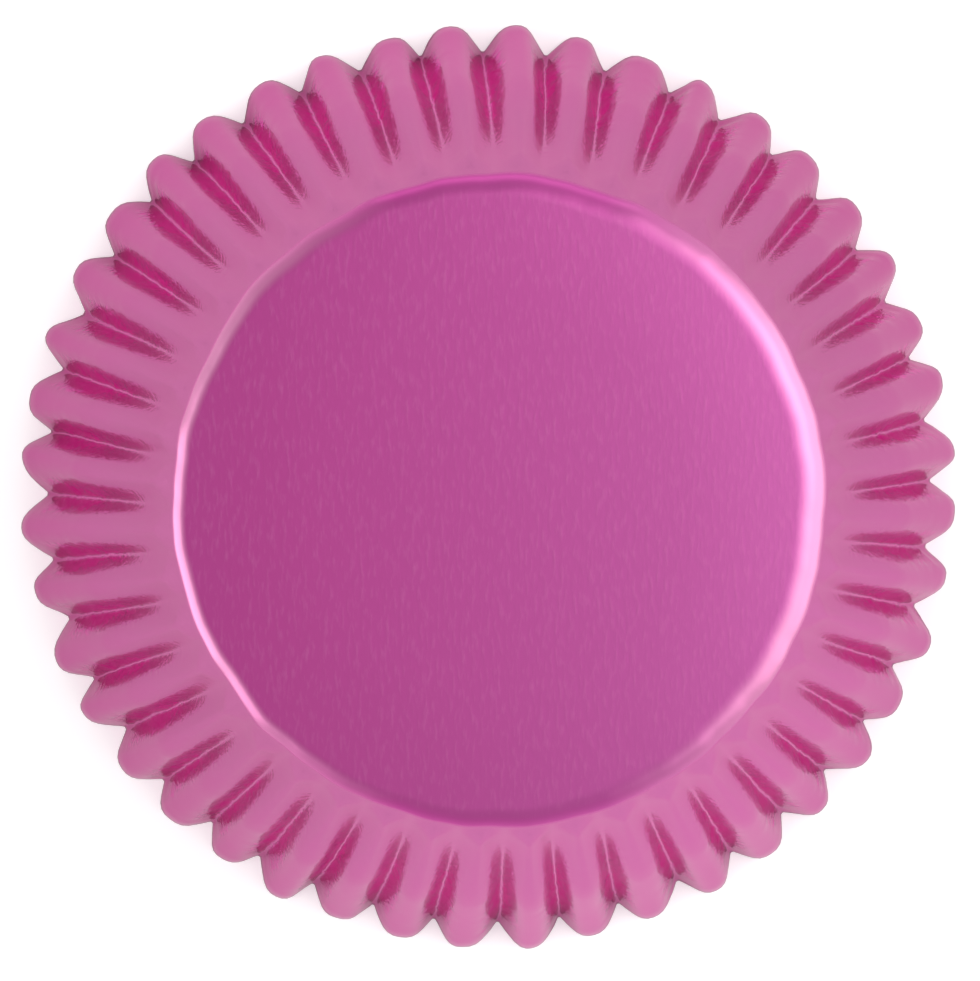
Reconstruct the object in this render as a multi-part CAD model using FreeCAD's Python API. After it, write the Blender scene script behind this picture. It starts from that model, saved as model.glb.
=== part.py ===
import FreeCAD, Part
import math
import os

# A cupcake liner of coloured foil on paper: one round sheet, pressed to a flat base and a fluted wall.
# It lies upside down, so the mouth is at the bottom, in the plane z = 0, and the base is on top.
# The origin is the middle of the mouth, and +Z runs up the axis of the cup.

doc = FreeCAD.newDocument("CupcakeLiner")

# Driving sizes in millimetres
drivingSizes = [
    ("base_width", 50.0, "across the base, at the foot of its rounded shoulder, where the creases begin"),
    ("mouth_width", 78.0, "across the mouth, over the ridges"),
    ("cup_height", 29.0, "from the edge of the mouth to the outer face of the base"),
    ("sheet_thickness", 0.12, "foil and paper together"),
    ("flute_count", 44, "ridges round the wall, with a crease between each two"),
    ("flute_depth", 2.4, "from the top of a ridge to where its flanks would meet in a sharp crease, at the mouth"),
    ("ridge_radius", 1.3, "rounding on the inside of a ridge, at the mouth"),
    ("crease_width", 0.3, "width of a crease's narrow floor, at the mouth; the creases begin sharp"),
    ("ridge_rise", 1.4, "how far below the shoulder a ridge has risen to its full height"),
    ("shoulder_radius", 0.9, "rounding on the inside of the shoulder, between base and wall"),
]
sheet = doc.addObject("Spreadsheet::Sheet", "Sizes")
for row, (alias, value, note) in enumerate(drivingSizes, start=1):
    sheet.set(f"A{row}", alias)
    sheet.set(f"B{row}", str(value))
    sheet.set(f"C{row}", note)
    sheet.setAlias(f"B{row}", alias)
doc.recompute()


def size(alias):
    return float(sheet.get(alias))


thickness = size("sheet_thickness")
cupHeight = size("cup_height")
fluteCount = round(size("flute_count"))
halfPitch = math.pi / fluteCount
mouthRidge = size("mouth_width") / 2
mouthCrease = mouthRidge - size("flute_depth")
footReach = size("base_width") / 2

# The shoulder is an arc from the flat base down to the slope of the creases
wallLean = math.atan2(mouthCrease - footReach, cupHeight)
shoulderTurn = math.pi / 2 - wallLean
shoulderArc = size("shoulder_radius") + thickness
footHeight = cupHeight - shoulderArc * (1 - math.cos(shoulderTurn))

# Ridges and creases are straight folds that all run towards one point on the axis, the apex. So each
# level section of the wall is the mouth's section made smaller, and every flank is flat.
apexHeight = footHeight / (1 - footReach / mouthCrease)
levelInset = thickness / math.cos(wallLean)

# How the mouth's section is made: a ridge arc, and flanks that touch it and meet in the crease
ridgeArc = size("ridge_radius") + levelInset
ridgeCentre = mouthRidge - ridgeArc
creaseAcross = mouthCrease * math.cos(halfPitch) - ridgeCentre
creaseAlong = mouthCrease * math.sin(halfPitch)
creaseGap = math.hypot(creaseAcross, creaseAlong)
ridgeTurn = math.atan2(creaseAlong, creaseAcross) - math.acos(ridgeArc / creaseGap)


def at(radius, angle, z):
    return FreeCAD.Vector(radius * math.cos(angle), radius * math.sin(angle), z)


# The sharp crease's distance from the axis at height z, on a line that lies inset inside the outer face
def creaseReach(z, inset):
    return mouthCrease * (1 - z / apexHeight) - inset / math.cos(ridgeTurn - halfPitch)


# Five points along the ridge's arc at height z, from its start over its top to its end
def ridgePoints(z, inset, turn):
    scale = 1 - z / apexHeight
    arc = ridgeArc * scale - inset
    points = []
    for share in (-1, -0.5, 0, 0.5, 1):
        across = ridgeCentre * scale + arc * math.cos(ridgeTurn * share)
        along = arc * math.sin(ridgeTurn * share)
        points.append(at(math.hypot(across, along), turn + math.atan2(along, across), z))
    return points


# The two corners of the crease's narrow floor at the mouth
def creasePoints(inset, turn):
    slope = math.tan(ridgeTurn - halfPitch)
    floor = creaseReach(0, 0) + size("crease_width") / 2 * slope - inset
    halfWidth = (floor - creaseReach(0, inset)) / slope
    reach = math.hypot(floor, halfWidth)
    half = math.atan2(halfWidth, floor)
    return at(reach, turn - half, 0), at(reach, turn + half, 0)


def arcEdge(points):
    return Part.Arc(*points).toShape()


def flatFace(corners):
    return Part.Face(Part.makePolygon(corners + corners[:1]))


# A face of straight lines that fan out from one point to an arc
def fanFace(point, edge):
    return Part.makeLoft([Part.Vertex(point), Part.Wire(edge)], False, True).Faces[0]


# One side of the sheet, depth inside its outer face: the flat base, the shoulder and the fluted wall
def skin(depth):
    inset = levelInset * depth / thickness
    baseHeight = cupHeight - depth
    arc = shoulderArc - depth
    arcFoot = baseHeight - arc * (1 - math.cos(shoulderTurn))
    reach = creaseReach(arcFoot, inset)
    flatReach = reach - arc * math.sin(shoulderTurn)
    riseEnd = footHeight - size("ridge_rise") - depth

    def shoulderPoint(angle, turned):
        return at(flatReach + arc * math.sin(turned), angle, baseHeight - arc * (1 - math.cos(turned)))

    def shoulderEdge(angle):
        return arcEdge([shoulderPoint(angle, shoulderTurn * share) for share in (0, 0.5, 1)])

    faces = []
    flatCorners = []
    mouthEdges = []
    for flute in range(fluteCount):
        before = 2 * flute * halfPitch
        turn = before + halfPitch
        after = turn + halfPitch
        footBefore = at(reach, before, arcFoot)
        footAfter = at(reach, after, arcFoot)
        rise = ridgePoints(riseEnd, inset, turn)
        mouth = ridgePoints(0, inset, turn)
        crease = creasePoints(inset, after)
        creaseBefore = creasePoints(inset, before)[-1]
        nextMouth = ridgePoints(0, inset, turn + 2 * halfPitch)
        faces.append(Part.makeRuledSurface(shoulderEdge(before), shoulderEdge(after)))
        faces.append(flatFace([footBefore, footAfter, rise[2]]))
        faces.append(fanFace(footBefore, arcEdge(rise[:3])))
        faces.append(fanFace(footAfter, arcEdge(rise[2:])))
        faces.append(Part.makeRuledSurface(arcEdge(rise[:3]), arcEdge(mouth[:3])))
        faces.append(Part.makeRuledSurface(arcEdge(rise[2:]), arcEdge(mouth[2:])))
        faces.append(flatFace([footBefore, rise[0], mouth[0], creaseBefore]))
        faces.append(flatFace([footAfter, rise[-1], mouth[-1], crease[0]]))
        faces.append(flatFace([footAfter, crease[0], crease[1]]))
        flatCorners.append(at(flatReach, before, baseHeight))
        mouthEdges.append(arcEdge(mouth[:3]))
        mouthEdges.append(arcEdge(mouth[2:]))
        mouthEdges.append(Part.makeLine(mouth[-1], crease[0]))
        mouthEdges.append(Part.makeLine(crease[0], crease[1]))
        mouthEdges.append(Part.makeLine(crease[-1], nextMouth[0]))
    faces.append(flatFace(flatCorners))
    return faces, Part.Wire(mouthEdges)


outerFaces, outerMouth = skin(0)
innerFaces, innerMouth = skin(thickness)
edgeFace = Part.makeFace([outerMouth, innerMouth], "Part::FaceMakerBullseye")
sewn = Part.Compound(outerFaces + innerFaces + [edgeFace])
sewn.sewShape()

liner = doc.addObject("Part::Feature", "Liner")
liner.Label = "liner"
liner.Shape = Part.Solid(sewn.Shells[0])
if liner.Shape.Volume < 0:
    liner.Shape = liner.Shape.reversed()
liner.Placement = FreeCAD.Placement()
doc.recompute()

for item in doc.Objects:
    if "Invalid" in item.State or "Error" in item.State:
        raise RuntimeError(f"{item.Label} failed: {item.State}")
if liner.Shape.isNull() or not liner.Shape.isValid():
    raise RuntimeError("the liner's shape is not valid")

os.makedirs("parts", exist_ok=True)
liner.Shape.exportStep(os.path.join("parts", f"{liner.Label}.step"))
box = liner.Shape.BoundBox
print(f"liner: {len(liner.Shape.Solids)} solid, {len(liner.Shape.Faces)} faces, {liner.Shape.Volume:.1f} mm3")
print(f"box {box.XLength:.2f} x {box.YLength:.2f} x {box.ZLength:.2f} mm, lowest point {box.ZMin:.3f}")
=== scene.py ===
import bpy
import math
from mathutils import Matrix, Vector


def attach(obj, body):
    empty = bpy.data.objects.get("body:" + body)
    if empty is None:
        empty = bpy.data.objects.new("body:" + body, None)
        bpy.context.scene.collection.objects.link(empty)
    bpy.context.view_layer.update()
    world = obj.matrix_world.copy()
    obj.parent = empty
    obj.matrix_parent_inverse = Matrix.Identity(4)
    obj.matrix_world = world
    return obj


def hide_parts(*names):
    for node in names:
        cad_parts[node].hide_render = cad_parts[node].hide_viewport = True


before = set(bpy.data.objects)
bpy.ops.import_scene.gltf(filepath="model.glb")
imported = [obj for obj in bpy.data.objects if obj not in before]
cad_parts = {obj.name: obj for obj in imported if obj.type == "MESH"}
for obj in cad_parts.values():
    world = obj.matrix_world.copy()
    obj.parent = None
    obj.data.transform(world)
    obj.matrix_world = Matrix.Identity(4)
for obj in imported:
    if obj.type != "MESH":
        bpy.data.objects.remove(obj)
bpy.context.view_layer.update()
print("packed liner loaded")


def fromHex(code):
    # sRGB hex to linear light
    shares = [int(code[i:i + 2], 16) / 255 for i in (1, 3, 5)]
    return [s / 12.92 if s <= 0.04045 else ((s + 0.055) / 1.055) ** 2.4 for s in shares] + [1.0]


def addNode(tree, kind, values=None, out=0, **settings):
    # values go by socket name or number: a socket is linked, anything else is set
    node = tree.nodes.new(kind)
    for name, value in settings.items():
        setattr(node, name, value)
    for key, value in (values or {}).items():
        if isinstance(value, bpy.types.NodeSocket):
            tree.links.new(value, node.inputs[key])
        else:
            node.inputs[key].default_value = value
    return node.outputs[out] if node.outputs else node


# Camera: 370 mm above the table and a little to the upper left of the liner's axis, as in the photo
cameraPlan = {
    "place": (-0.0108, 0.0128, 0.370),
    "aim": (0.0, -0.0002, 0.0),
    "lens": 162.1,
    "sensor": 36.0,
    "nearest": 0.01,
}


def makeCamera(plan):
    data = bpy.data.cameras.new("camera")
    data.lens = plan["lens"]
    data.sensor_width = plan["sensor"]
    data.clip_start = plan["nearest"]
    camera = bpy.data.objects.new("camera", data)
    bpy.context.scene.collection.objects.link(camera)
    place = Vector(plan["place"])
    back = (place - Vector(plan["aim"])).normalized()
    right = Vector((0, 1, 0)).cross(back).normalized()
    up = back.cross(right)
    turned = Matrix((right, up, back)).transposed().to_4x4()
    camera.matrix_world = Matrix.Translation(place) @ turned
    bpy.context.scene.camera = camera


makeCamera(cameraPlan)
print("camera made")


# Greaseproof paper, calendered: off-white and matt to the eye, with a faint cloudy formation
paperLook = {
    "sheet": "#EFEAE4",
    "cloud": "#E2DAD2",
    "cloudSize": 2.2,        # mm
    "fibreDepth": 0.03,      # mm
    "fibreShare": 0.15,
    "roughness": 0.62,
}


def greaseproofPaper(look):
    material = bpy.data.materials.new("greaseproofPaper")
    material.use_nodes = True
    tree = material.node_tree
    tree.nodes.clear()
    place = addNode(tree, "ShaderNodeTexCoord", out=3)
    cloud = addNode(tree, "ShaderNodeTexNoise",
                    {"Vector": place, "Scale": 1000 / look["cloudSize"], "Detail": 4.0})
    tone = addNode(tree, "ShaderNodeMix", {0: cloud, 6: fromHex(look["sheet"]), 7: fromHex(look["cloud"])},
                   out=2, data_type="RGBA")
    fibre = addNode(tree, "ShaderNodeBump",
                    {"Strength": look["fibreShare"], "Distance": look["fibreDepth"] / 1000,
                     "Height": cloud})
    shader = addNode(tree, "ShaderNodeBsdfPrincipled",
                     {"Base Color": tone, "Roughness": look["roughness"], "Normal": fibre})
    addNode(tree, "ShaderNodeOutputMaterial", {"Surface": shader})
    return material


# Aluminium foil with a pink lacquer, embossed by the press: a coloured satin mirror, paler where it is
# seen at a low angle, and deep magenta in the creases, where two flanks mirror each other, with painted
# reflection deepening that colour
foilLook = {
    "base": "#C62C96",
    "basePaintedSheen": "#C64AA3",       # painted sheen: the base paler towards its right side, where the right window's light falls
    "paintedSheenAcross": (-0.020, 0.025),
    "wall": "#CA569F",
    "wallHigh": "#C05F9A",       # towards the shoulder
    "wallPaintedLight": "#D066AB",       # painted light: the wall paler on its lower right side, where more light falls
    "wallPaintedLightWay": (0.6, -0.8, 0.0),
    "wallPaintedLightSpan": (0.005, 0.034),
    "wallFade": (6.0, 22.0),     # spans along the sheet are in mm from the mouth's edge
    "baseEdge": (34.0, 36.5),
    "shoulderHighlightTint": "#E890C0",      # painted highlight: a paler tint over the shoulder, where the side windows mirror
    "shoulderHighlightTintFrom": (30.8, 32.5),
    "shoulderHighlightTintTo": (34.4, 36.9),
    "highlightTintAside": (0.008, 0.022), # in metres from the middle
    "highlightTintLeast": 0.05,
    # painted reflection: the deep magenta painted into the creases, on top of the flanks' mirror images of
    # each other
    "fold": "#DC44AE",
    "foldWidth": 0.23,           # in flutes, to each side of the crease
    "foldSoftness": 0.02,
    "foldSpan": (9.0, 26.0),     # where the deep colour narrows
    "foldNarrowing": 0.2,
    "foldStray": 18.0,           # mm, how unequal the creases' deep colour is in length
    "foldStrayCells": 180.0,     # to the metre
    "mouthFade": (2.0, 5.0),
    "floorEdge": (0.018, 0.040), # in flutes, the crease's narrow floor has less of the deep colour
    "floorShare": 0.25,
    "teeth": 0.50,               # mm between the ragged teeth of a crease's deep colour
    "teethDepth": 0.34,          # in flutes
    "grain": "#D45EAC",          # the lighter rolling marks
    "grainSize": 0.30,           # mm across the foil's rolling marks, which are four times as long
    "grainStretch": (1.0, 0.25, 0.25),
    "grainShift": (0.0, 0.0, 0.35),
    "grainRange": (0.50, 0.75),
    "grainShare": 0.4,
    "grainDepth": 0.008,         # mm
    "crinkleSize": 0.9,          # mm, the small cross wrinkles of the pleats
    "crinkleStretch": (1.0, 1.0, 0.5),
    "crinkleDepth": 0.010,       # mm, on the ridges
    "crinkleEnd": (35.0, 37.0),
    "foldCrinkle": 0.13,         # mm, in the creases
    "foldCrinkleSide": (0.18, 0.32),
    "foldCrinkleEnd": (20.0, 27.0),
    "edgeTint": "#F6B8DC",
    "roughness": 0.33,
    "wallRoughness": 0.13,       # the press draws the wall smooth
    "roughnessFade": (28.0, 33.0),
    "coat": 0.50,
    "coatOnBase": 0.95,
    "coatInFold": 0.35,
    "coatRoughness": 0.29,
    "coatIor": 1.7,
}


def lacqueredFoil(look):
    material = bpy.data.materials.new("lacqueredFoil")
    material.use_nodes = True
    tree = material.node_tree
    tree.nodes.clear()
    place = addNode(tree, "ShaderNodeTexCoord", out=3)
    laid = addNode(tree, "ShaderNodeUVMap", uv_map="pleats")
    across = addNode(tree, "ShaderNodeSeparateXYZ", {0: laid}, out=0)
    along = addNode(tree, "ShaderNodeSeparateXYZ", {0: laid}, out=1)
    # 0 on a crease, 0.5 on a ridge; the painted reflection, a deep colour in the creases, has ragged sides
    # and narrows towards the base
    beside = addNode(tree, "ShaderNodeMath", {0: across, 1: 0.5}, operation="PINGPONG")
    teeth = addNode(tree, "ShaderNodeTexNoise",
                    {"Vector": place, "Scale": 1000 / look["teeth"], "Detail": 2.0})
    teethMiddle = addNode(tree, "ShaderNodeMath", {0: teeth, 1: 0.5}, operation="SUBTRACT")
    toothed = addNode(tree, "ShaderNodeMath", {0: teethMiddle, 1: look["teethDepth"], 2: beside},
                      operation="MULTIPLY_ADD")
    strays = addNode(tree, "ShaderNodeTexNoise",
                     {"Vector": place, "Scale": look["foldStrayCells"], "Detail": 1.0})
    straysMiddle = addNode(tree, "ShaderNodeMath", {0: strays, 1: 0.5}, operation="SUBTRACT")
    alongHere = addNode(tree, "ShaderNodeMath", {0: straysMiddle, 1: look["foldStray"], 2: along},
                        operation="MULTIPLY_ADD")
    narrowed = addNode(tree, "ShaderNodeMapRange",
                       {0: alongHere, 1: look["foldSpan"][0], 2: look["foldSpan"][1],
                        4: look["foldWidth"] + look["foldNarrowing"]})
    fromCrease = addNode(tree, "ShaderNodeMath", {0: toothed, 1: narrowed}, operation="ADD")
    inFold = addNode(tree, "ShaderNodeMapRange",
                     {0: fromCrease, 1: look["foldWidth"] - look["foldSoftness"],
                      2: look["foldWidth"] + look["foldSoftness"], 3: 1.0, 4: 0.0},
                     interpolation_type="SMOOTHSTEP")
    offFloor = addNode(tree, "ShaderNodeMapRange",
                       {0: beside, 1: look["floorEdge"][0], 2: look["floorEdge"][1], 3: look["floorShare"]},
                       interpolation_type="SMOOTHSTEP")
    toMouth = addNode(tree, "ShaderNodeMapRange",
                      {0: along, 1: look["mouthFade"][0], 2: look["mouthFade"][1]},
                      interpolation_type="SMOOTHSTEP")
    foldLong = addNode(tree, "ShaderNodeMath", {0: offFloor, 1: toMouth}, operation="MULTIPLY")
    fold = addNode(tree, "ShaderNodeMath", {0: foldLong, 1: inFold}, operation="MULTIPLY")

    # rolling marks, drawn about twice as coarse as real ones so that they show
    rolled = addNode(tree, "ShaderNodeMapping", {0: place, 2: look["grainShift"], 3: look["grainStretch"]})
    grain = addNode(tree, "ShaderNodeTexNoise",
                    {"Vector": rolled, "Scale": 1000 / look["grainSize"], "Detail": 3.0})
    onBase = addNode(tree, "ShaderNodeMapRange", {0: along, 1: look["baseEdge"][0], 2: look["baseEdge"][1]})
    marksAll = addNode(tree, "ShaderNodeMapRange",
                       {0: grain, 1: look["grainRange"][0], 2: look["grainRange"][1],
                        4: look["grainShare"]})
    marks = addNode(tree, "ShaderNodeMath", {0: marksAll, 1: onBase}, operation="MULTIPLY")

    # the base, the wall, the painted deep colour in its creases, and the painted highlight tint on the
    # shoulder between them
    aside = addNode(tree, "ShaderNodeSeparateXYZ", {0: place}, out=0)
    # painted sheen: the base's colour paler towards its right side
    paintedSheenSide = addNode(tree, "ShaderNodeMapRange",
                       {0: aside, 1: look["paintedSheenAcross"][0], 2: look["paintedSheenAcross"][1]})
    baseColour = addNode(tree, "ShaderNodeMix",
                         {0: paintedSheenSide, 6: fromHex(look["base"]), 7: fromHex(look["basePaintedSheen"])},
                         out=2, data_type="RGBA")
    grainColour = addNode(tree, "ShaderNodeMix", {0: marks, 6: baseColour, 7: fromHex(look["grain"])},
                          out=2, data_type="RGBA")
    upWall = addNode(tree, "ShaderNodeMapRange", {0: along, 1: look["wallFade"][0], 2: look["wallFade"][1]})
    wallColour = addNode(tree, "ShaderNodeMix",
                         {0: upWall, 6: fromHex(look["wall"]), 7: fromHex(look["wallHigh"])},
                         out=2, data_type="RGBA")
    # painted light: the wall's colour paler towards its lower right side
    sideways = addNode(tree, "ShaderNodeVectorMath", {0: place, 1: look["wallPaintedLightWay"]}, out=1,
                       operation="DOT_PRODUCT")
    wallLitShare = addNode(tree, "ShaderNodeMapRange",
                       {0: sideways, 1: look["wallPaintedLightSpan"][0], 2: look["wallPaintedLightSpan"][1]})
    wallWithPaintedLight = addNode(tree, "ShaderNodeMix", {0: wallLitShare, 6: wallColour, 7: fromHex(look["wallPaintedLight"])},
                        out=2, data_type="RGBA")
    shoulderIn = addNode(tree, "ShaderNodeMapRange",
                         {0: along, 1: look["shoulderHighlightTintFrom"][0], 2: look["shoulderHighlightTintFrom"][1]},
                         interpolation_type="SMOOTHSTEP")
    plain = addNode(tree, "ShaderNodeMix", {0: shoulderIn, 6: wallWithPaintedLight, 7: grainColour},
                    out=2, data_type="RGBA")
    # painted reflection: the deep crease colour laid over the plain colour
    withPaintedCreaseReflection = addNode(tree, "ShaderNodeMix", {0: fold, 6: plain, 7: fromHex(look["fold"])},
                     out=2, data_type="RGBA")
    shoulderOut = addNode(tree, "ShaderNodeMapRange",
                          {0: along, 1: look["shoulderHighlightTintTo"][0], 2: look["shoulderHighlightTintTo"][1], 3: 1.0, 4: 0.0},
                          interpolation_type="SMOOTHSTEP")
    highlightTintRing = addNode(tree, "ShaderNodeMath", {0: shoulderIn, 1: shoulderOut}, operation="MULTIPLY")
    # painted highlight: the tint is strongest on the left and right, where the windows mirror in the
    # shoulder
    farAside = addNode(tree, "ShaderNodeMath", {0: aside}, operation="ABSOLUTE")
    highlightTintSide = addNode(tree, "ShaderNodeMapRange",
                       {0: farAside, 1: look["highlightTintAside"][0], 2: look["highlightTintAside"][1],
                        3: look["highlightTintLeast"]})
    shoulder = addNode(tree, "ShaderNodeMath", {0: highlightTintRing, 1: highlightTintSide}, operation="MULTIPLY")
    colour = addNode(tree, "ShaderNodeMix", {0: shoulder, 6: withPaintedCreaseReflection, 7: fromHex(look["shoulderHighlightTint"])},
                     out=2, data_type="RGBA")
    coatPlain = addNode(tree, "ShaderNodeMapRange", {0: onBase, 3: look["coat"], 4: look["coatOnBase"]})
    coat = addNode(tree, "ShaderNodeMix", {0: fold, 2: coatPlain, 3: look["coatInFold"]}, data_type="FLOAT")

    # relief: rolling marks on the base, small wrinkles elsewhere, and sharper ones down in the creases
    grained = addNode(tree, "ShaderNodeBump",
                      {"Strength": onBase, "Distance": look["grainDepth"] / 1000, "Height": grain})
    lengthened = addNode(tree, "ShaderNodeMapping", {0: place, 3: look["crinkleStretch"]})
    crinkle = addNode(tree, "ShaderNodeTexNoise",
                      {"Vector": lengthened, "Scale": 1000 / look["crinkleSize"], "Detail": 2.0})
    offBase = addNode(tree, "ShaderNodeMapRange",
                      {0: along, 1: look["crinkleEnd"][0], 2: look["crinkleEnd"][1],
                       3: look["crinkleDepth"], 4: 0.0})
    inCrease = addNode(tree, "ShaderNodeMapRange",
                       {0: beside, 1: look["foldCrinkleSide"][0], 2: look["foldCrinkleSide"][1],
                        3: look["foldCrinkle"], 4: 0.0})
    onWall = addNode(tree, "ShaderNodeMapRange",
                     {0: along, 1: look["foldCrinkleEnd"][0], 2: look["foldCrinkleEnd"][1], 3: 1.0, 4: 0.0})
    inWall = addNode(tree, "ShaderNodeMath", {0: onWall, 1: toMouth}, operation="MULTIPLY")
    inCreaseHere = addNode(tree, "ShaderNodeMath", {0: inCrease, 1: inWall}, operation="MULTIPLY")
    teethHeight = addNode(tree, "ShaderNodeMath", {0: teeth, 1: inCreaseHere}, operation="MULTIPLY")
    crinkleHeight = addNode(tree, "ShaderNodeMath", {0: crinkle, 1: offBase, 2: teethHeight},
                            operation="MULTIPLY_ADD")
    crinkled = addNode(tree, "ShaderNodeBump",
                       {"Strength": 1.0, "Distance": 0.001, "Height": crinkleHeight, "Normal": grained})
    smoothness = addNode(tree, "ShaderNodeMapRange",
                         {0: along, 1: look["roughnessFade"][0], 2: look["roughnessFade"][1],
                          3: look["wallRoughness"], 4: look["roughness"]})
    shader = addNode(tree, "ShaderNodeBsdfPrincipled",
                     {"Base Color": colour, "Metallic": 1.0, "Roughness": smoothness,
                      "Specular Tint": fromHex(look["edgeTint"]), "Coat Weight": coat,
                      "Coat Roughness": look["coatRoughness"], "Coat IOR": look["coatIor"],
                      "Normal": crinkled})
    addNode(tree, "ShaderNodeOutputMaterial", {"Surface": shader})
    return material


foil = lacqueredFoil(foilLook)
paper = greaseproofPaper(paperLook)
print("materials made")


# The pressed sheet, in metres. The foot is where the rounded shoulder ends and the wall begins.
linerPlan = {
    "Flutes": 44,
    "Columns": 16,           # faces across one flute
    "Rows": 62,
    "Base Rows": 0.03,       # share of the rows that lie on the base
    "Shoulder Rows": 0.19,   # share of them on the base and the shoulder together
    "Column Draw": 1.5,      # above 1 the columns lie closer together at the creases
    "Height": 0.029,
    "Middle Radius": 0.004,  # of the plain middle of the base
    "Foot Radius": 0.0254,
    "Shoulder Run": 0.0020,  # the shoulder is a quarter of an ellipse, or a little less
    "Shoulder Stray": 0.36,  # it is wider on one side, by this share
    "Wide Turn": 0.3,
    "Shoulder Wave": 0.0008, # how uneven its edge is
    "Wave Cells": 5.0,
    "Shoulder Dip": 0.0011,
    "Shoulder Turn": 1.247,  # radians
    "Wall Run": 0.0112,      # how far a crease runs outwards from foot to mouth
    "Flute Depth": 0.0025,
    "Foot Depth": 0.35,      # share of the depth that a flute has near the base
    "Fold Start": 0.05,      # share of the wall where the folds begin to sharpen
    "Fold Change": 0.55,     # share of it over which they deepen and sharpen
    "Ridge Rise": 0.0017,    # how far below the shoulder a ridge has risen
    "Foot Fold": 1.5,        # above 1 a ridge is narrow near the base
    "Flank Slope": 1.50,     # of a crease's flanks near the mouth, for a depth of 1 in half a pitch
    "Flank Share": 0.45,     # of the way from crease to ridge
    "Ridge Crown": 2.54,     # power of the rounding on top; 2.54 meets these flanks without an edge
    "Crease Floor": 0.075,   # share of the depth that the rounded floor takes
    "Floor Rounding": 0.03,
    "Mouth Share": 0.93,     # share of the depth left at the mouth's edge, where the flutes relax
    "Mouth Start": 0.94,
    "Crumple": 0.00035,      # waves in the flanks of the creases
    "Crease Wave": 0.020,    # waves of the creases' lines, in flutes
    "Crumple Start": 0.25,   # share of the wall where both begin
    "Crumple Full": 0.5,
    "Crumple Cells": (22.0, 22.0, 24.0),
    "First Crease": 0.014,   # radians from +X
    "Pitch Stray": 0.35,     # in flutes
    "Depth Stray": 0.50,
    "Stray Cells": (7.0, 7.0, 0.9),
    "Oval": 0.009,
    "Oval Turn": 2.79,
    "Seed": 7.0,
    "Seed Step": 11.3,
    "Wall Length": 31.0,     # mm on the pattern map
    "Middle Length": 37.0,   # mm on the pattern map, for the middle of the base
    "Weld": 0.000002,
}
sheetThickness = 0.0001      # foil and paper together
socketKinds = {int: "NodeSocketInt", float: "NodeSocketFloat", tuple: "NodeSocketVector"}


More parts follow.
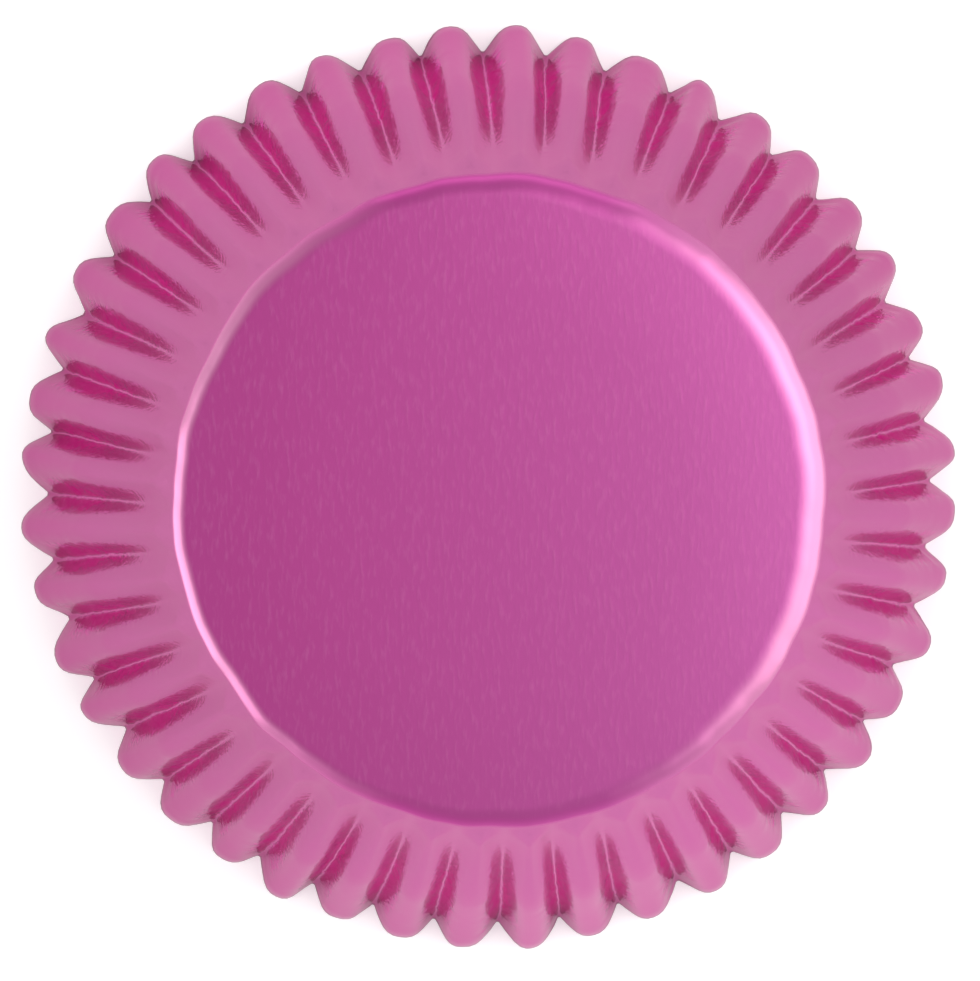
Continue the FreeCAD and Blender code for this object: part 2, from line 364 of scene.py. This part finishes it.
def linerTree(plan, foil):
    tree = bpy.data.node_groups.new("fluted liner", "GeometryNodeTree")
    tree.interface.new_socket("Geometry", in_out="INPUT", socket_type="NodeSocketGeometry")
    for name, value in plan.items():
        kind = socketKinds[type(value)]
        tree.interface.new_socket(name, in_out="INPUT", socket_type=kind).default_value = value
    tree.interface.new_socket("Foil", in_out="INPUT", socket_type="NodeSocketMaterial").default_value = foil
    tree.interface.new_socket("Geometry", in_out="OUTPUT", socket_type="NodeSocketGeometry")
    given = tree.nodes.new("NodeGroupInput").outputs

    columns = addNode(tree, "ShaderNodeMath", {0: given["Flutes"], 1: given["Columns"]},
                      operation="MULTIPLY")
    columnPoints = addNode(tree, "ShaderNodeMath", {0: columns, 1: 1.0}, operation="ADD")
    rowPoints = addNode(tree, "ShaderNodeMath", {0: given["Rows"], 1: 1.0}, operation="ADD")
    grid = addNode(tree, "GeometryNodeMeshGrid",
                   {"Size X": 1.0, "Size Y": 1.0, "Vertices X": columnPoints, "Vertices Y": rowPoints})
    spot = addNode(tree, "GeometryNodeInputPosition")
    spotX = addNode(tree, "ShaderNodeSeparateXYZ", {0: spot}, out=0)
    spotY = addNode(tree, "ShaderNodeSeparateXYZ", {0: spot}, out=1)
    roundShare = addNode(tree, "ShaderNodeMath", {0: spotX, 1: 0.5}, operation="ADD")
    outShare = addNode(tree, "ShaderNodeMath", {0: spotY, 1: 0.5}, operation="ADD")
    # columns lie closer together at the creases, and evenly round the middle of the base
    pleatEven = addNode(tree, "ShaderNodeMath", {0: roundShare, 1: given["Flutes"]}, operation="MULTIPLY")
    creaseAt = addNode(tree, "ShaderNodeMath", {0: pleatEven}, operation="ROUND")
    fromIt = addNode(tree, "ShaderNodeMath", {0: pleatEven, 1: creaseAt}, operation="SUBTRACT")
    side = addNode(tree, "ShaderNodeMath", {0: fromIt}, operation="SIGN")
    farFrom = addNode(tree, "ShaderNodeMath", {0: fromIt}, operation="ABSOLUTE")
    farTwice = addNode(tree, "ShaderNodeMath", {0: farFrom, 1: 2.0}, operation="MULTIPLY")
    drawnIn = addNode(tree, "ShaderNodeMath", {0: farTwice, 1: given["Column Draw"]}, operation="POWER")
    drawnHalf = addNode(tree, "ShaderNodeMath", {0: drawnIn, 1: 0.5}, operation="MULTIPLY")
    pleatDrawn = addNode(tree, "ShaderNodeMath", {0: drawnHalf, 1: side, 2: creaseAt},
                         operation="MULTIPLY_ADD")
    overBase = addNode(tree, "ShaderNodeMapRange", {0: outShare, 2: given["Base Rows"]})
    pleat = addNode(tree, "ShaderNodeMix", {0: overBase, 2: pleatEven, 3: pleatDrawn}, data_type="FLOAT")

    # how far out a row is: over the base, round the shoulder, then down the wall
    overShoulder = addNode(tree, "ShaderNodeMapRange",
                           {0: outShare, 1: given["Base Rows"], 2: given["Shoulder Rows"]})
    downWall = addNode(tree, "ShaderNodeMapRange", {0: outShare, 1: given["Shoulder Rows"]})
    drawnShare = addNode(tree, "ShaderNodeMath", {0: pleatDrawn, 1: given["Flutes"]}, operation="DIVIDE")
    fullTurn = addNode(tree, "ShaderNodeMath", {0: drawnShare, 1: math.tau}, operation="MULTIPLY")
    wideFrom = addNode(tree, "ShaderNodeMath", {0: fullTurn, 1: given["Wide Turn"]}, operation="SUBTRACT")
    wideWave = addNode(tree, "ShaderNodeMath", {0: wideFrom}, operation="COSINE")
    wideShare = addNode(tree, "ShaderNodeMath", {0: wideWave, 1: given["Shoulder Stray"], 2: 1.0},
                        operation="MULTIPLY_ADD")
    runHere = addNode(tree, "ShaderNodeMath", {0: wideShare, 1: given["Shoulder Run"]},
                      operation="MULTIPLY")
    ringX = addNode(tree, "ShaderNodeMath", {0: fullTurn}, operation="COSINE")
    ringY = addNode(tree, "ShaderNodeMath", {0: fullTurn}, operation="SINE")
    rim = addNode(tree, "ShaderNodeCombineXYZ", {0: ringX, 1: ringY})
    rimNoise = addNode(tree, "ShaderNodeTexNoise",
                       {"Vector": rim, "W": given["Seed"], "Scale": given["Wave Cells"], "Detail": 1.0},
                       noise_dimensions="4D")
    rimMiddle = addNode(tree, "ShaderNodeMath", {0: rimNoise, 1: 0.5}, operation="SUBTRACT")
    footReach = addNode(tree, "ShaderNodeMath",
                        {0: rimMiddle, 1: given["Shoulder Wave"], 2: given["Foot Radius"]},
                        operation="MULTIPLY_ADD")
    endSine = addNode(tree, "ShaderNodeMath", {0: given["Shoulder Turn"]}, operation="SINE")
    runWhole = addNode(tree, "ShaderNodeMath", {0: runHere, 1: endSine}, operation="MULTIPLY")
    flatReach = addNode(tree, "ShaderNodeMath", {0: footReach, 1: runWhole}, operation="SUBTRACT")
    baseRun = addNode(tree, "ShaderNodeMath", {0: flatReach, 1: given["Middle Radius"]},
                      operation="SUBTRACT")
    baseReach = addNode(tree, "ShaderNodeMath", {0: overBase, 1: baseRun, 2: given["Middle Radius"]},
                        operation="MULTIPLY_ADD")
    turned = addNode(tree, "ShaderNodeMath", {0: overShoulder, 1: given["Shoulder Turn"]},
                     operation="MULTIPLY")
    turnedSine = addNode(tree, "ShaderNodeMath", {0: turned}, operation="SINE")
    turnedCosine = addNode(tree, "ShaderNodeMath", {0: turned}, operation="COSINE")
    shoulderReach = addNode(tree, "ShaderNodeMath", {0: turnedSine, 1: runHere, 2: baseReach},
                            operation="MULTIPLY_ADD")
    creaseReach = addNode(tree, "ShaderNodeMath", {0: downWall, 1: given["Wall Run"], 2: shoulderReach},
                          operation="MULTIPLY_ADD")
    dipHere = addNode(tree, "ShaderNodeMath", {0: wideShare, 1: given["Shoulder Dip"]},
                      operation="MULTIPLY")
    shoulderDip = addNode(tree, "ShaderNodeMath", {0: 1.0, 1: turnedCosine}, operation="SUBTRACT")
    shoulderDrop = addNode(tree, "ShaderNodeMath", {0: shoulderDip, 1: dipHere}, operation="MULTIPLY")
    endCosine = addNode(tree, "ShaderNodeMath", {0: given["Shoulder Turn"]}, operation="COSINE")
    endDip = addNode(tree, "ShaderNodeMath", {0: 1.0, 1: endCosine}, operation="SUBTRACT")
    endDrop = addNode(tree, "ShaderNodeMath", {0: endDip, 1: dipHere}, operation="MULTIPLY")
    wallWhole = addNode(tree, "ShaderNodeMath", {0: given["Height"], 1: endDrop}, operation="SUBTRACT")
    wallDrop = addNode(tree, "ShaderNodeMath", {0: downWall, 1: wallWhole}, operation="MULTIPLY")
    upToBase = addNode(tree, "ShaderNodeMath", {0: given["Height"], 1: shoulderDrop}, operation="SUBTRACT")
    height = addNode(tree, "ShaderNodeMath", {0: upToBase, 1: wallDrop}, operation="SUBTRACT")

    # smooth stray values that close up round the circle
    ring = addNode(tree, "ShaderNodeCombineXYZ", {0: ringX, 1: ringY, 2: downWall})
    wide = addNode(tree, "ShaderNodeVectorMath", {0: ring, 1: given["Stray Cells"]}, operation="MULTIPLY")
    pitchNoise = addNode(tree, "ShaderNodeTexNoise",
                         {"Vector": wide, "W": given["Seed"], "Scale": 1.0, "Detail": 1.0},
                         noise_dimensions="4D")
    depthSeed = addNode(tree, "ShaderNodeMath", {0: given["Seed"], 1: given["Seed Step"]}, operation="ADD")
    depthNoise = addNode(tree, "ShaderNodeTexNoise",
                         {"Vector": wide, "W": depthSeed, "Scale": 1.0, "Detail": 1.0},
                         noise_dimensions="4D")
    pitchMiddle = addNode(tree, "ShaderNodeMath", {0: pitchNoise, 1: 0.5}, operation="SUBTRACT")
    pitchStray = addNode(tree, "ShaderNodeMath", {0: pitchMiddle, 1: given["Pitch Stray"]},
                         operation="MULTIPLY")
    pitchHere = addNode(tree, "ShaderNodeMath", {0: pitchStray, 1: downWall}, operation="MULTIPLY")
    depthMiddle = addNode(tree, "ShaderNodeMath", {0: depthNoise, 1: 0.5}, operation="SUBTRACT")
    depthStray = addNode(tree, "ShaderNodeMath", {0: depthMiddle, 1: given["Depth Stray"], 2: 1.0},
                         operation="MULTIPLY_ADD")

    # the section of a flute: narrow ridges near the base, narrow creases near the mouth
    besideCrease = addNode(tree, "ShaderNodeMath", {0: pleat, 1: 0.5}, operation="PINGPONG")
    toRidge = addNode(tree, "ShaderNodeMath", {0: besideCrease, 1: 2.0}, operation="MULTIPLY")
    toCrease = addNode(tree, "ShaderNodeMath", {0: 1.0, 1: toRidge}, operation="SUBTRACT")
    footFold = addNode(tree, "ShaderNodeMath", {0: toRidge, 1: given["Foot Fold"]}, operation="POWER")
    flankPart = addNode(tree, "ShaderNodeMath", {0: toRidge, 1: given["Flank Share"]}, operation="MINIMUM")
    flank = addNode(tree, "ShaderNodeMath", {0: flankPart, 1: given["Flank Slope"]}, operation="MULTIPLY")
    flankTop = addNode(tree, "ShaderNodeMath", {0: given["Flank Share"], 1: given["Flank Slope"]},
                       operation="MULTIPLY")
    crownRise = addNode(tree, "ShaderNodeMath", {0: 1.0, 1: flankTop}, operation="SUBTRACT")
    crownLeft = addNode(tree, "ShaderNodeMapRange", {0: toRidge, 1: given["Flank Share"], 3: 1.0, 4: 0.0})
    crownFall = addNode(tree, "ShaderNodeMath", {0: crownLeft, 1: given["Ridge Crown"]}, operation="POWER")
    crownShare = addNode(tree, "ShaderNodeMath", {0: 1.0, 1: crownFall}, operation="SUBTRACT")
    ridged = addNode(tree, "ShaderNodeMath", {0: crownShare, 1: crownRise, 2: flank},
                     operation="MULTIPLY_ADD")
    mouthFold = addNode(tree, "ShaderNodeMath",
                        {0: ridged, 1: given["Crease Floor"], 2: given["Floor Rounding"]},
                        operation="SMOOTH_MAX")
    blend = addNode(tree, "ShaderNodeMapRange",
                    {0: downWall, 1: given["Fold Start"], 2: given["Fold Change"]},
                    interpolation_type="SMOOTHSTEP")
    fold = addNode(tree, "ShaderNodeMix", {0: blend, 2: footFold, 3: mouthFold}, data_type="FLOAT")
    depthShare = addNode(tree, "ShaderNodeMapRange",
                         {0: downWall, 2: given["Fold Change"], 3: given["Foot Depth"]},
                         interpolation_type="SMOOTHSTEP")
    depthAll = addNode(tree, "ShaderNodeMath", {0: depthShare, 1: given["Flute Depth"]},
                       operation="MULTIPLY")
    relaxed = addNode(tree, "ShaderNodeMapRange",
                      {0: downWall, 1: given["Mouth Start"], 3: 1.0, 4: given["Mouth Share"]})
    depthHere = addNode(tree, "ShaderNodeMath", {0: depthAll, 1: relaxed}, operation="MULTIPLY")
    depth = addNode(tree, "ShaderNodeMath", {0: depthHere, 1: depthStray}, operation="MULTIPLY")
    fluteRise = addNode(tree, "ShaderNodeMath", {0: depth, 1: fold}, operation="MULTIPLY")
    risen = addNode(tree, "ShaderNodeMapRange", {0: wallDrop, 2: given["Ridge Rise"]},
                    interpolation_type="SMOOTHSTEP")
    rise = addNode(tree, "ShaderNodeMath", {0: fluteRise, 1: risen}, operation="MULTIPLY")

    # crumples, most of them low on the flanks; the 4 makes up for onFlank's most, a quarter
    onFlank = addNode(tree, "ShaderNodeMath", {0: toRidge, 1: toCrease}, operation="MULTIPLY")
    crumpleFrom = addNode(tree, "ShaderNodeMapRange",
                          {0: downWall, 1: given["Crumple Start"], 2: given["Crumple Full"], 4: 4.0})
    lowFlank = addNode(tree, "ShaderNodeMath", {0: onFlank, 1: toCrease}, operation="MULTIPLY")
    crumpleMost = addNode(tree, "ShaderNodeMath", {0: lowFlank, 1: crumpleFrom}, operation="MULTIPLY")
    crumpleSpot = addNode(tree, "ShaderNodeVectorMath", {0: ring, 1: given["Crumple Cells"]},
                          operation="MULTIPLY")
    crumpleNoise = addNode(tree, "ShaderNodeTexNoise",
                           {"Vector": crumpleSpot, "W": given["Seed"], "Scale": 1.0, "Detail": 1.0},
                           noise_dimensions="4D")
    crumpleMiddle = addNode(tree, "ShaderNodeMath", {0: crumpleNoise, 1: 0.5}, operation="SUBTRACT")
    crumpleShare = addNode(tree, "ShaderNodeMath", {0: crumpleMiddle, 1: crumpleMost}, operation="MULTIPLY")
    crumpled = addNode(tree, "ShaderNodeMath", {0: crumpleShare, 1: given["Crumple"], 2: rise},
                       operation="MULTIPLY_ADD")
    reach = addNode(tree, "ShaderNodeMath", {0: creaseReach, 1: crumpled}, operation="ADD")

    # place the row and column round the axis, a little out of round
    waveWall = addNode(tree, "ShaderNodeMath", {0: crumpleFrom, 1: given["Crease Wave"]},
                       operation="MULTIPLY")
    nearCrease = addNode(tree, "ShaderNodeMath", {0: toCrease, 1: 2.0}, operation="POWER")
    waveMost = addNode(tree, "ShaderNodeMath", {0: waveWall, 1: nearCrease}, operation="MULTIPLY")
    pleatAside = addNode(tree, "ShaderNodeMath", {0: pleat, 1: pitchHere}, operation="ADD")
    pleatHere = addNode(tree, "ShaderNodeMath", {0: crumpleMiddle, 1: waveMost, 2: pleatAside},
                        operation="MULTIPLY_ADD")
    turnShare = addNode(tree, "ShaderNodeMath", {0: pleatHere, 1: given["Flutes"]}, operation="DIVIDE")
    angle = addNode(tree, "ShaderNodeMath", {0: turnShare, 1: math.tau, 2: given["First Crease"]},
                    operation="MULTIPLY_ADD")
    ovalFrom = addNode(tree, "ShaderNodeMath", {0: angle, 1: given["Oval Turn"]}, operation="SUBTRACT")
    ovalTwice = addNode(tree, "ShaderNodeMath", {0: ovalFrom, 1: 2.0}, operation="MULTIPLY")
    ovalWave = addNode(tree, "ShaderNodeMath", {0: ovalTwice}, operation="COSINE")
    ovalMost = addNode(tree, "ShaderNodeMath", {0: given["Oval"], 1: downWall}, operation="MULTIPLY")
    ovalShare = addNode(tree, "ShaderNodeMath", {0: ovalWave, 1: ovalMost, 2: 1.0},
                        operation="MULTIPLY_ADD")
    reachHere = addNode(tree, "ShaderNodeMath", {0: reach, 1: ovalShare}, operation="MULTIPLY")
    angleCosine = addNode(tree, "ShaderNodeMath", {0: angle}, operation="COSINE")
    angleSine = addNode(tree, "ShaderNodeMath", {0: angle}, operation="SINE")
    outX = addNode(tree, "ShaderNodeMath", {0: angleCosine, 1: reachHere}, operation="MULTIPLY")
    outY = addNode(tree, "ShaderNodeMath", {0: angleSine, 1: reachHere}, operation="MULTIPLY")
    placed = addNode(tree, "ShaderNodeCombineXYZ", {0: outX, 1: outY, 2: height})

    # the pattern map: whole numbers on creases, and millimetres from the mouth's edge
    fromMouth = addNode(tree, "ShaderNodeMapRange",
                        {0: outShare, 1: given["Shoulder Rows"], 3: given["Wall Length"], 4: 0.0},
                        clamp=False)
    mapped = addNode(tree, "ShaderNodeCombineXYZ", {0: pleat, 1: fromMouth})
    marked = addNode(tree, "GeometryNodeStoreNamedAttribute",
                     {"Geometry": grid, "Name": "pleats", "Value": mapped},
                     data_type="FLOAT2", domain="CORNER")
    facedOut = addNode(tree, "GeometryNodeFlipFaces", {"Mesh": marked})
    sheet = addNode(tree, "GeometryNodeSetPosition", {"Geometry": facedOut, "Position": placed})

    middle = addNode(tree, "GeometryNodeMeshCircle",
                     {"Vertices": columns, "Radius": given["Middle Radius"]}, fill_type="NGON")
    lift = addNode(tree, "ShaderNodeCombineXYZ", {2: given["Height"]})
    turn = addNode(tree, "ShaderNodeCombineXYZ", {2: given["First Crease"]})
    middlePlaced = addNode(tree, "GeometryNodeTransform",
                           {"Geometry": middle, "Translation": lift, "Rotation": turn})
    middleMap = addNode(tree, "ShaderNodeCombineXYZ", {0: 0.5, 1: given["Middle Length"]})
    middleMarked = addNode(tree, "GeometryNodeStoreNamedAttribute",
                           {"Geometry": middlePlaced, "Name": "pleats", "Value": middleMap},
                           data_type="FLOAT2", domain="CORNER")
    joined = tree.nodes.new("GeometryNodeJoinGeometry")
    tree.links.new(middleMarked, joined.inputs[0])
    tree.links.new(sheet, joined.inputs[0])
    closed = addNode(tree, "GeometryNodeMergeByDistance",
                     {"Geometry": joined.outputs[0], "Distance": given["Weld"]})
    smooth = addNode(tree, "GeometryNodeSetShadeSmooth", {"Geometry": closed})
    realized = addNode(tree, "GeometryNodeRealizeInstances", {"Geometry": smooth})
    coloured = addNode(tree, "GeometryNodeSetMaterial", {"Geometry": realized, "Material": given["Foil"]})
    addNode(tree, "NodeGroupOutput", {0: coloured})
    return tree


def makeLiner(plan, foil, paper):
    seedMesh = bpy.data.meshes.new("linerStart")
    maker = bpy.data.objects.new("linerMaker", seedMesh)
    bpy.context.scene.collection.objects.link(maker)
    tree = linerTree(plan, foil)
    pressed = maker.modifiers.new("pressed", "NODES")
    pressed.node_group = tree
    inputs = [item for item in tree.interface.items_tree if item.in_out == "INPUT"]
    inputNames = {item.name: item.identifier for item in inputs}
    for name, value in plan.items():
        pressed[inputNames[name]] = value
    pressed[inputNames["Foil"]] = foil
    evaluated = maker.evaluated_get(bpy.context.evaluated_depsgraph_get())
    mesh = bpy.data.meshes.new_from_object(evaluated)
    maker.modifiers.clear()
    bpy.data.objects.remove(maker)
    mesh.name = "linerSheet"
    mesh.materials.clear()
    mesh.materials.append(foil)
    mesh.materials.append(paper)
    piece = bpy.data.objects.new("linerSheet", mesh)
    bpy.context.scene.collection.objects.link(piece)
    wall = piece.modifiers.new("sheet thickness", "SOLIDIFY")
    wall.thickness = sheetThickness
    wall.offset = -1
    wall.material_offset = 1
    wall.material_offset_rim = 1
    return piece


liner = makeLiner(linerPlan, foil, paper)
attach(liner, "root")
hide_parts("liner")
print("liner pressed:", len(liner.data.polygons), "faces")


# Matt white table; daylight from windows on two sides, a pale panel above and one beyond
studioPlan = {
    "table": "#F4F3F2",
    "tableHalf": 1.5,
    "tableDrop": 0.00005,    # just under the mouth's edge
    "tableLift": 0.34,       # keeps the table white to the eye, and keeps the shadow
    "mirrorLift": 0.15,      # share of that lift in the foil's mirror image of the table
    "sky": "#C0C0C0",
    "horizon": "#F2F2F2",
    "climb": (0.15, 0.85),   # from horizon to sky, by the height of the direction
    "lamps": [
        # name, place, size, watts
        ("leftWindow", (-0.9, -0.25, 0.60), (0.9, 1.1), 3.9),
        ("rightWindow", (0.95, 0.05, 0.75), (1.6, 1.4), 6.8),
        ("topPanel", (0.50, 0.20, 1.10), (0.7, 0.9), 1.8),
        ("farPanel", (0.10, 0.95, 0.45), (0.9, 0.4), 0.6),
    ],
}


def makeStudio(plan):
    half = plan["tableHalf"]
    mesh = bpy.data.meshes.new("table")
    corners = [(-half, -half, 0), (half, -half, 0), (half, half, 0), (-half, half, 0)]
    mesh.from_pydata(corners, [], [(0, 1, 2, 3)])
    mesh.transform(Matrix.Translation((0, 0, -plan["tableDrop"])))
    table = bpy.data.objects.new("table", mesh)
    bpy.context.scene.collection.objects.link(table)
    material = bpy.data.materials.new("mattTable")
    material.use_nodes = True
    tree = material.node_tree
    tree.nodes.clear()
    matt = addNode(tree, "ShaderNodeBsdfDiffuse", {"Color": fromHex(plan["table"])})
    seen = addNode(tree, "ShaderNodeLightPath", out=0)
    mirrored = addNode(tree, "ShaderNodeLightPath", out=3)
    through = addNode(tree, "ShaderNodeLightPath", out=6)
    indirect = addNode(tree, "ShaderNodeMath", {0: mirrored, 1: through}, operation="MAXIMUM")
    inFoil = addNode(tree, "ShaderNodeMath", {0: indirect, 1: plan["mirrorLift"]}, operation="MULTIPLY")
    shown = addNode(tree, "ShaderNodeMath", {0: seen, 1: inFoil}, operation="MAXIMUM")
    lift = addNode(tree, "ShaderNodeMath", {0: shown, 1: plan["tableLift"]}, operation="MULTIPLY")
    glow = addNode(tree, "ShaderNodeEmission", {"Color": fromHex("#FFFFFF"), "Strength": lift})
    shader = addNode(tree, "ShaderNodeAddShader", {0: matt, 1: glow})
    addNode(tree, "ShaderNodeOutputMaterial", {"Surface": shader})
    mesh.materials.append(material)

    world = bpy.data.worlds.new("daylight")
    world.use_nodes = True
    worldTree = world.node_tree
    worldTree.nodes.clear()
    toward = addNode(worldTree, "ShaderNodeTexCoord")
    upward = addNode(worldTree, "ShaderNodeSeparateXYZ", {0: toward}, out=2)
    climb = addNode(worldTree, "ShaderNodeMapRange", {0: upward, 1: plan["climb"][0], 2: plan["climb"][1]})
    skyTone = addNode(worldTree, "ShaderNodeMix",
                      {0: climb, 6: fromHex(plan["horizon"]), 7: fromHex(plan["sky"])},
                      out=2, data_type="RGBA")
    sky = addNode(worldTree, "ShaderNodeBackground", {"Color": skyTone, "Strength": 1.0})
    addNode(worldTree, "ShaderNodeOutputWorld", {"Surface": sky})
    bpy.context.scene.world = world

    for name, place, size, watts in plan["lamps"]:
        data = bpy.data.lights.new(name, "AREA")
        data.shape = "RECTANGLE"
        data.size, data.size_y = size
        data.energy = watts
        lamp = bpy.data.objects.new(name, data)
        lamp.location = place
        lamp.rotation_euler = Vector(place).to_track_quat("Z", "Y").to_euler()
        bpy.context.scene.collection.objects.link(lamp)


makeStudio(studioPlan)
bpy.context.scene.view_settings.view_transform = "Standard"
print("table and light made")
